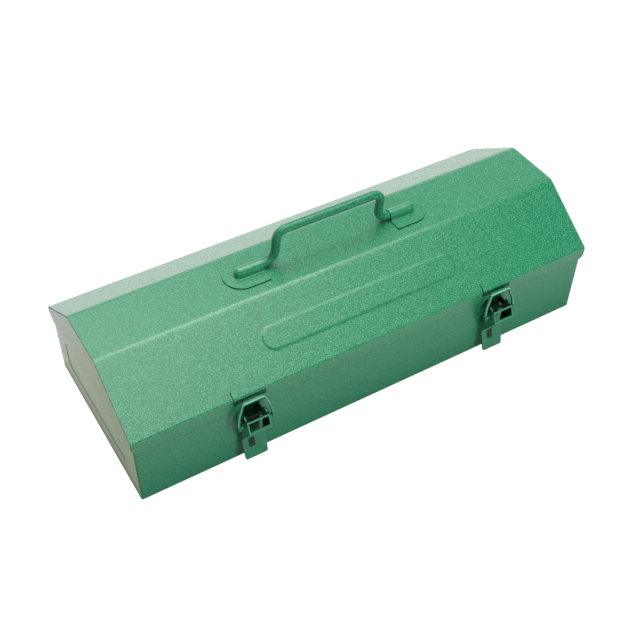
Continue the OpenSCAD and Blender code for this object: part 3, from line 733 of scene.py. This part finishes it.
class TOOLBOX_OT_case_ends(Operator):
    """Build the two pressed ends of the case"""
    bl_idname = "toolbox.case_ends"
    bl_label = "Case ends"

    def execute(self, context):
        """A ring of points goes from the pan's rim round its quarter-circle edge, over the flat and down a
        smooth step into the recess: each row has its own rectangle and depth."""
        case = sizes(context.scene.toolbox_case)
        sheet = context.scene.toolbox_lid.sheet / MM
        for side, sign in SIDES.items():
            faces = []
            for thick in (0, sheet):
                rows = self.rim_rows(case, thick) + self.recess_rows(case, thick)
                rings = [rect_ring(half, low, high, bend) for half, low, high, bend, _ in rows]
                grid = along_x([sign * (END_HIGH[0] - depth) for *_, depth in rows], rings)
                faces.append(closed_columns(to_pole(grid)))
            lip = np.stack([faces[0][0], faces[1][0]])
            name = f"case_end_pan_{side}"
            piece = add_piece(name, mesh_of(name, [*faces, lip]), case_enamel(context), PAINT_SLOT,
                              f"body_end_{side}")
            soften(piece, width=0.05)
        return {"FINISHED"}

    def rim_rows(self, case, thick):
        """Half width, low edge, high edge, corner and depth of the rows round the pan's edge, a quarter
        circle, and of one row just inside it that keeps the flat flat."""
        half = CASE_HIGH[1]
        rim = CASE_HIGH[2]
        bend = case["bend"]
        turn = bend - thick
        least_corner = 1e-3
        support = 0.4
        t = np.linspace(0, pi / 2, 7)
        rows = [(half - d, d, rim - d, max(turn * c, least_corner), bend - turn * s)
                for d, c, s in zip(thick + turn * (1 - np.cos(t)), np.cos(t), np.sin(t))]
        d = bend + support
        return [*rows, (half - d, d, rim - d, least_corner, thick)]

    def recess_rows(self, case, thick):
        """The same for the rows that go down into the recess: depth is a smooth step over the shoulder."""
        half = case["recess_length"] / 2
        low = case["recess_low"]
        high = low + case["recess_height"]
        corner = case["recess_corner"]
        shoulder = case["recess_shoulder"]
        steps = [(e * shoulder / 2, case["recess_depth"] * smooth_step((1 - e) / 2))
                 for e in np.linspace(1, -1, 9)]
        return [(half + out, low - out, high + out, corner + out, thick + down)
                for out, down in [(shoulder, 0), *steps]]


class TOOLBOX_OT_handle(Operator):
    """Build the bent wire handle"""
    bl_idname = "toolbox.handle"
    bl_label = "Handle"

    def execute(self, context):
        """A circle carried along the wire's bent line, with half a sphere at each end, leaning about its
        pivots."""
        handle = sizes(context.scene.toolbox_handle)
        wire = handle["wire"]
        pivot_z = LID_HIGH[2] + wire + handle["lift"]
        end = handle["foot"] + handle["pivot"] - wire
        foot_x = handle["foot"] - handle["foot_bend"] * tan(pi / 4 - handle["leg_lean"] / 2)
        grip_x = foot_x - handle["grip"] * tan(handle["leg_lean"])
        right = np.array([(grip_x, handle["grip"]), (foot_x, 0), (end, 0)])
        corners = np.vstack([right[::-1] * (-1, 1), right])
        bends = [0, handle["foot_bend"], handle["grip_bend"]]
        line = rounded(corners, bends + bends[::-1], steps=14)
        t = np.linspace(0, 2 * pi, 28, endpoint=False)
        circle = wire * np.stack([np.cos(t), np.sin(t)], 1)
        cap = np.linspace(0, pi / 2, 8)[1:]
        tube = carried(line, circle, np.column_stack([wire * np.sin(cap), np.cos(cap)]))
        tube = np.stack([tube[..., 0], tube[..., 2], pivot_z + tube[..., 1]], -1)
        tube = turned(tube, 0, pivot_z, handle["lean"])
        piece = add_piece("handle_wire", mesh_of("handle_wire", [tube]), wire_enamel(context), PAINT_SLOT,
                          "handle_bar")
        piece.data.shade_smooth()
        return {"FINISHED"}


class TOOLBOX_OT_brackets(Operator):
    """Build the two handle brackets with their pressed tunnels"""
    bl_idname = "toolbox.brackets"
    bl_label = "Handle brackets"

    def execute(self, context):
        """Two faces of one shape, a thickness apart, with a rim that joins them. The cut rim is painted
        shade.
        """
        handle = sizes(context.scene.toolbox_handle)
        plate = handle["plate"]
        seat = 0.02
        faces = [self.tunnel(handle, thick) for thick in (0, plate - seat)]
        for side, sign in SIDES.items():
            name = f"handle_bracket_plate_{side}"
            both = [face * (sign, 1, 1) for face in faces]
            # The two halves of the tunnel meet at its crown, so that border needs no rim.
            *grids, _, rim = sheet_faces(*both)
            piece = add_piece(name, mesh_of(name, [*grids, rim]), fine_enamel(context), PAINT_SLOT,
                              f"handle_bracket_{side}")
            upright = np.abs(face_values(piece, "normal")[:, 2]) < 0.2
            on_plate = face_values(piece, "center")[:, 2] < (LID_HIGH[2] + plate) * MM
            # Painted shade on the upright rim of the plate.
            repaint(piece, painted_shade_enamel(context), upright & on_plate)
            soften(piece, width=0.12)
        return {"FINISHED"}

    def tunnel(self, handle, thick):
        """A tunnel profile (distance from the spine, height) is carried from the mouth along the pivot, round
        its end and back, and its foot runs out to the plate's outline. The profile is a quarter circle, then
        a fillet of a quarter circle, then flat. The face lies by thick below the outer one."""
        plate = handle["plate"]
        gap = 0.1
        flat = 0.3
        axis_z = LID_HIGH[2] + handle["wire"] + handle["lift"]
        foot_z = LID_HIGH[2] + plate - thick
        r = handle["wire"] + gap + plate - thick
        fillet = handle["fillet"] + thick
        a = np.linspace(0, pi / 2, 10)
        b = np.linspace(0, pi / 2, 7)
        d = np.concatenate([r * np.sin(a), r + fillet * (1 - np.cos(b)), [r + fillet + flat]])
        z = np.concatenate([axis_z + r * np.cos(a), foot_z + fillet * (1 - np.sin(b)), [foot_z]])
        spine, heading, far = self.spine_rows(handle)
        d = np.concatenate([np.broadcast_to(d, (len(spine), len(d))), far[:, None]], 1)
        z = np.broadcast_to(np.append(z, foot_z), d.shape)
        x = spine[:, None] + d * np.cos(heading)[:, None]
        return np.stack([x, d * np.sin(heading)[:, None], z], -1)

    def spine_rows(self, handle):
        """Places along the tunnel's spine, the way that the profile heads at each, and the distance from
        there to the plate's outline, which is half a circle beyond two straight sides."""
        half = handle["plate_half"]
        mouth = handle["foot"] + handle["lift"]
        dome = handle["foot"] + handle["pivot"] - handle["wire"] + handle["lift"]
        centre = mouth + handle["plate_length"] - half
        straight = np.linspace(mouth, dome, 14)
        around = np.linspace(pi / 2, -pi / 2, 33)[1:-1]
        spine = np.concatenate([straight, np.full(len(around), dome), straight[::-1]])
        sideways = np.full(len(straight), pi / 2)
        heading = np.concatenate([sideways, around, -sideways])
        ahead = spine - centre
        beside = np.where(ahead < 0, half, np.sqrt(np.maximum(half ** 2 - ahead ** 2, 0)))
        chord = np.sqrt(np.maximum(half ** 2 - (ahead * np.sin(heading)) ** 2, 0))
        far = np.where(np.isclose(np.abs(heading), pi / 2), beside, chord - ahead * np.cos(heading))
        return spine, heading, far


class TOOLBOX_OT_bails(Operator):
    """Build the two latch bails"""
    bl_idname = "toolbox.bails"
    bl_label = "Latch bails"

    def execute(self, context):
        """A flat strip with rounded edges carried along the bail's bent line, with an eye and a stub at each
        end, tilted about its pivots. The strip's front edges carry a painted highlight."""
        latch = sizes(context.scene.toolbox_latch)
        joints = {joint["name"]: joint for joint in frame["joints"]}
        thick = latch["strip_thick"]
        behind_pivot = 1
        edge_round = 0.6
        sunk = 0.05
        profile = rect_ring(thick / 2, behind_pivot - latch["strip"], behind_pivot, edge_round, steps=4)
        for side in SIDES:
            pivot = np.array(joints[f"bail_{side}_pivot"]["pos_m"]) / MM
            low, high = node_box(f"bail_{side}")
            wide = (high[0] - low[0] - thick) / 2
            eye = wide - thick / 2
            turns = [(latch["eye"], eye, eye + thick), (latch["stub"], latch["stub_place"], eye + sunk)]
            strip = carried(self.line(latch, wide), profile, [(0, 0)])[..., [0, 2, 1]]
            rounds = [turned_round(r, sign * start, sign * stop)
                      for r, start, stop in turns for sign in SIDES.values()]
            placed = [turned(grid, 0, 0, latch["bail_lean"]) + pivot for grid in (strip, *rounds)]
            name = f"latch_bail_{side}"
            piece = add_piece(name, mesh_of(name, placed), smooth_enamel(context, "wire"), HARDWARE_SLOT,
                              f"bail_{side}")
            # Painted highlight on the strip's front edges above the eyes.
            above_eye = face_values(piece, "center")[:, 2] / MM > pivot[2] + 2 * latch["eye"]
            ahead = -face_values(piece, "normal")[:, 1]
            painted_highlight_edge = (ahead > 0.3) & (ahead < 0.95)
            repaint(piece, smooth_enamel(context, "worn"), above_eye & painted_highlight_edge)
            piece.data.shade_smooth()
            piece.data.set_sharp_from_angle(angle=radians(50))
        return {"FINISHED"}

    def line(self, latch, wide):
        """The strip's line up one arm, along the bar and down the other. The arms come in by the waist and by
        the shoulder at these shares of the bar's height."""
        shoulder_share = 0.77
        waist_share = 0.55
        straight_share = 0.22
        tall = latch["bar_height"]
        bend = latch["strip_bend"]
        arm_bends = [4 * bend] * 3
        right = np.array([((latch["bar"] - latch["strip_thick"]) / 2, tall),
                          (wide - latch["arm_shoulder"], shoulder_share * tall),
                          (wide - latch["arm_waist"], waist_share * tall),
                          (wide, straight_share * tall), (wide, 0)])
        corners = np.vstack([right[::-1] * (-1, 1), right])
        return rounded(corners, [0, *arm_bends, bend, bend, *arm_bends, 0])


class TOOLBOX_OT_latch_sheets(Operator):
    """Build the keepers, latch bases, levers and hinge leaves with rounded edges"""
    bl_idname = "toolbox.latch_sheets"
    bl_label = "Latch and hinge sheets"

    def execute(self, context):
        """Each is its frame node's shape with soft edges, which carry a painted highlight on the levers."""
        edge = context.scene.toolbox_latch.edge / MM
        # The latch bases get painted shade all over.
        finishes = {"keeper": lid_enamel, "latch_base": painted_shade_enamel, "lever": smooth_enamel,
                    "hinge_case_leaf": smooth_enamel, "hinge_lid_leaf": smooth_enamel}
        for kind, finish in finishes.items():
            for side in SIDES:
                name = f"{kind}_sheet_{side}"
                node = f"{kind}_{side}"
                piece = add_piece(name, merged_copy(node, name), finish(context), HARDWARE_SLOT, node)
                worn = None
                if kind == "keeper":
                    self.paint_shade_under_fold(context, piece)
                if kind == "lever":
                    self.paint_shade_inside(context, piece)
                    worn = smooth_enamel(context, "worn")
                soften(piece, edge, worn)
        return {"FINISHED"}

    def paint_shade_under_fold(self, context, piece):
        """Paints shade on a keeper below the lid's lower fold: darker and duller there."""
        below = face_values(piece, "center")[:, 2] < context.scene.toolbox_lid.edge
        repaint(piece, smooth_enamel(context, "keeper", coat=0.15), below)

    def paint_shade_inside(self, context, piece):
        """Paints shade inside a lever, above its tab: faces that turn to the back or to the lever's middle
        get painted shade.
        """
        place = face_values(piece, "center")
        facing = face_values(piece, "normal")
        from_middle = place[:, 0] - (place[:, 0].min() + place[:, 0].max()) / 2
        to_back = facing[:, 1] > 0.2
        to_middle = facing[:, 0] * np.sign(from_middle) < -0.5
        above_tab = place[:, 2] > context.scene.toolbox_latch.tab_top
        repaint(piece, painted_shade_enamel(context), (to_back | to_middle) & above_tab)


class TOOLBOX_OT_fasteners(Operator):
    """Finish the rivets and pins"""
    bl_idname = "toolbox.fasteners"
    bl_label = "Rivets and pins"

    def execute(self, context):
        """The frame's own rivets and pins stay, each with its finish."""
        for name, node in frame["nodes"].items():
            if "rivets" in name or "_pin_" in name:
                node.data.materials.clear()
                node.data.materials.append(self.finish_of(name)(context))
        return {"FINISHED"}

    def finish_of(self, name):
        """Zinc on hinge pins, enamel on hinge rivets and painted shade, a nearly black green, on those inside
        the latches.
        """
        if "hinge_pin" in name:
            return zinc_plate
        if "hinge" in name:
            return smooth_enamel
        return painted_shade_enamel


class TOOLBOX_OT_stage(Operator):
    """Set up the floor, the light and the camera"""
    bl_idname = "toolbox.stage"
    bl_label = "Stage"

    def execute(self, context):
        """The photograph's white ground, its soft light from above and its viewpoint."""
        scene = context.scene
        scene.view_settings.view_transform = "Standard"
        self.add_floor(context)
        self.add_world(scene)
        self.add_lamps(scene)
        self.add_camera(scene)
        return {"FINISHED"}

    def add_floor(self, context):
        """A wide floor, just under the box."""
        gap = 0.3
        reach = np.linspace(-2500, 2500, 5)
        x, y = np.meshgrid(reach, reach, indexing="ij")
        grid = np.stack([x, y, np.full(x.shape, -gap)], -1)
        floor = bpy.data.objects.new("floor", mesh_of("floor", [grid]))
        context.scene.collection.objects.link(floor)
        floor.data.materials.append(self.floor_finish(context.scene.toolbox_paint))

    def floor_finish(self, paint):
        """Pale matt floor that looks white, with a little of the box's soft shadow. Mirrored in the box it is
        white behind it and far in front, duller and a little warm beside it, and dark under it and close in
        front, where the box stands in its light."""
        camera_glow = 1.05
        glow_share = 0.96
        finish, shader = new_finish("white floor")
        tree = finish.node_tree
        tree.nodes.remove(shader)
        place = add_node(tree, "ShaderNodeTexCoord").outputs["Object"]
        spot = add_node(tree, "ShaderNodeSeparateXYZ", {"Vector": place})
        depth = spot.outputs["Y"]
        across = add_node(tree, "ShaderNodeMath", {0: spot.outputs["X"]},
                          operation="ABSOLUTE").outputs["Value"]
        ramps = {}
        # Each row is a name, an axis, where the ramp starts and stops in millimetres, and its values there.
        for name, axis, start, stop, low, high in (
                ("past the end", across, 177, 181, 0.04, 1.0),
                ("past the back", depth, 66, 72, 0.0, 1.0),
                ("open floor", depth, -60, 200, 0.5, 1.0),
                ("close in front", depth, -140, -75, 1.0, 0.18),
                ("behind the front", depth, -74, -64, 0.0, 1.0),
                ("before the front", depth, -74, -64, 1.0, 0.0),
                ("far behind", depth, 60, 120, 0.0, 1.0)):
            values = {"From Min": start * MM, "From Max": stop * MM, "To Min": low, "To Max": high}
            ramps[name] = add_node(tree, "ShaderNodeMapRange", {"Value": axis}, values).outputs["Result"]
        clear = add_node(tree, "ShaderNodeMath", {0: ramps["past the end"], 1: ramps["past the back"]},
                         operation="MAXIMUM")
        beside = add_node(tree, "ShaderNodeMath", {0: ramps["open floor"], 1: clear.outputs["Value"]},
                          operation="MULTIPLY")
        mirrored = add_node(tree, "ShaderNodeMix", {0: ramps["behind the front"], 2: ramps["close in front"],
                                                    3: beside.outputs["Value"]})
        camera = add_node(tree, "ShaderNodeLightPath").outputs["Is Camera Ray"]
        glow = add_node(tree, "ShaderNodeMix", {0: camera, 2: mirrored.outputs[0]}, {3: camera_glow})
        away = add_node(tree, "ShaderNodeMath", {0: ramps["far behind"], 1: ramps["before the front"]},
                        operation="MAXIMUM")
        plain = add_node(tree, "ShaderNodeMath", {0: away.outputs["Value"], 1: camera}, operation="MAXIMUM")
        tint = add_node(tree, "ShaderNodeMix", {0: plain.outputs["Value"]}, {6: paint.warm, 7: (1, 1, 1, 1)},
                        data_type="RGBA")
        white = add_node(tree, "ShaderNodeEmission", {"Strength": glow.outputs[0], "Color": tint.outputs[2]})
        base = add_node(tree, "ShaderNodeBsdfDiffuse", values={"Color": paint.floor})
        part = add_node(tree, "ShaderNodeMath", {0: light_seen(tree)}, {1: glow_share}, operation="MULTIPLY")
        mix = add_node(tree, "ShaderNodeMixShader", {0: part.outputs["Value"], 1: base.outputs["BSDF"],
                                                     2: white.outputs["Emission"]})
        feed(tree, tree.nodes["Material Output"], {"Surface": mix.outputs["Shader"]})
        return finish

    def add_world(self, scene):
        """A dim room that looks white. Mirrored in the box it is white low at the back and dark elsewhere."""
        dim = 0.13
        world = bpy.data.worlds.new("pale room")
        scene.world = world
        world.use_nodes = True
        tree = world.node_tree
        way = add_node(tree, "ShaderNodeTexCoord").outputs["Generated"]
        axes = add_node(tree, "ShaderNodeSeparateXYZ", {"Vector": way})
        low = add_node(tree, "ShaderNodeMapRange", {"Value": axes.outputs["Z"]},
                       {"From Min": 0.45, "From Max": 0.75, "To Min": 1.0, "To Max": 0.1})
        back = add_node(tree, "ShaderNodeMapRange", {"Value": axes.outputs["Y"]},
                        {"From Min": 0.1, "From Max": 0.6, "To Min": 0.05, "To Max": 1.0})
        mirrored = add_node(tree, "ShaderNodeMath", {0: low.outputs["Result"], 1: back.outputs["Result"]},
                            operation="MULTIPLY")
        seen = add_node(tree, "ShaderNodeMix", {0: light_seen(tree), 3: mirrored.outputs["Value"]}, {2: dim})
        camera = add_node(tree, "ShaderNodeLightPath").outputs["Is Camera Ray"]
        glow = add_node(tree, "ShaderNodeMix", {0: camera, 2: seen.outputs[0]}, {3: 1.0})
        feed(tree, tree.nodes["Background"], {"Strength": glow.outputs[0]}, {"Color": (1, 1, 1, 1)})

    def add_lamps(self, scene):
        """Softboxes in front and behind that the left of the box mirrors, a bright strip overhead for the
        fold of the roof, and a lamp at the front right that throws soft shadows and is not mirrored."""
        for name, across, deep, watts, place, turn in (
                ("front softbox", 1.2, 0.6, 7.8, (0.06, -0.535, 1.25), 32),
                ("back softbox", 1.35, 0.9, 9.0, (-0.3, 0.95, 1.25), 0),
                ("overhead strip", 1.2, 0.5, 11.4, (0.05, 0.2, 1.25), 0)):
            holder = self.add_lamp(scene, name, across, deep, watts)
            holder.location = place
            holder.rotation_euler = (0, 0, radians(turn))
        box_middle = Vector((0, 0, 0.05))
        side = self.add_lamp(scene, "side lamp", across=0.4, deep=0.4, watts=7.6)
        side.location = (0.35, -1.2, 0.36)
        side.rotation_euler = (box_middle - side.location).to_track_quat("-Z", "Y").to_euler()
        side.visible_glossy = False

    def add_lamp(self, scene, name, across, deep, watts):
        """A flat lamp that shines along its own -Z and that the camera doesn't see."""
        lamp = bpy.data.lights.new(name, "AREA")
        lamp.shape = "RECTANGLE"
        lamp.size = across
        lamp.size_y = deep
        lamp.energy = watts
        holder = bpy.data.objects.new(name, lamp)
        holder.visible_camera = False
        scene.collection.objects.link(holder)
        return holder

    def add_camera(self, scene):
        """The photograph's viewpoint: turned, tipped down and rolled about its view."""
        yaw = radians(-31.86)
        pitch = radians(45.69)
        roll = radians(1.25)
        right = Vector((cos(yaw), sin(yaw), 0))
        back = Vector((sin(yaw) * cos(pitch), -cos(yaw) * cos(pitch), sin(pitch)))
        up = back.cross(right)
        across = cos(roll) * right + sin(roll) * up
        over = cos(roll) * up - sin(roll) * right
        lens = bpy.data.cameras.new("camera")
        lens.lens = 58.7
        lens.sensor_width = 36
        place = Matrix((across, over, back)).transposed().to_4x4()
        place.translation = Vector((-0.2862, -0.4541, 0.5653))
        camera = bpy.data.objects.new("camera", lens)
        camera.matrix_world = place
        scene.collection.objects.link(camera)
        scene.camera = camera


OPERATORS = (
    TOOLBOX_OT_stage, TOOLBOX_OT_lid_sheet, TOOLBOX_OT_lid_ends, TOOLBOX_OT_case_sheet, TOOLBOX_OT_case_ends,
    TOOLBOX_OT_handle, TOOLBOX_OT_brackets, TOOLBOX_OT_bails, TOOLBOX_OT_latch_sheets, TOOLBOX_OT_fasteners,
)


class TOOLBOX_PT_pieces(Panel):
    """Lists the pieces of the toolbox and their sizes"""
    bl_idname = "TOOLBOX_PT_pieces"
    bl_label = "Toolbox"
    bl_space_type = "VIEW_3D"
    bl_region_type = "UI"
    bl_category = "Toolbox"

    def draw(self, context):
        """A box of sizes or colours for each group, then a button for each operator."""
        for key, group in GROUPS.items():
            box = self.layout.box()
            for prop in group.__annotations__:
                box.prop(getattr(context.scene, key), prop)
        for operator in OPERATORS:
            self.layout.operator(operator.bl_idname)


CLASSES = (*GROUPS.values(), *OPERATORS, TOOLBOX_PT_pieces)


def register():
    """Adds the classes, and the groups of sizes and colours to the scene."""
    for item in CLASSES:
        bpy.utils.register_class(item)
    for key, group in GROUPS.items():
        setattr(bpy.types.Scene, key, PointerProperty(type=group))


def unregister():
    """Takes back what register adds."""
    for key in GROUPS:
        delattr(bpy.types.Scene, key)
    for item in reversed(CLASSES):
        bpy.utils.unregister_class(item)


def main():
    """Builds the pieces in order."""
    register()
    for operator in OPERATORS:
        group, name = operator.bl_idname.split(".")
        getattr(getattr(bpy.ops, group), name)()


if __name__ == "__main__":
    main()
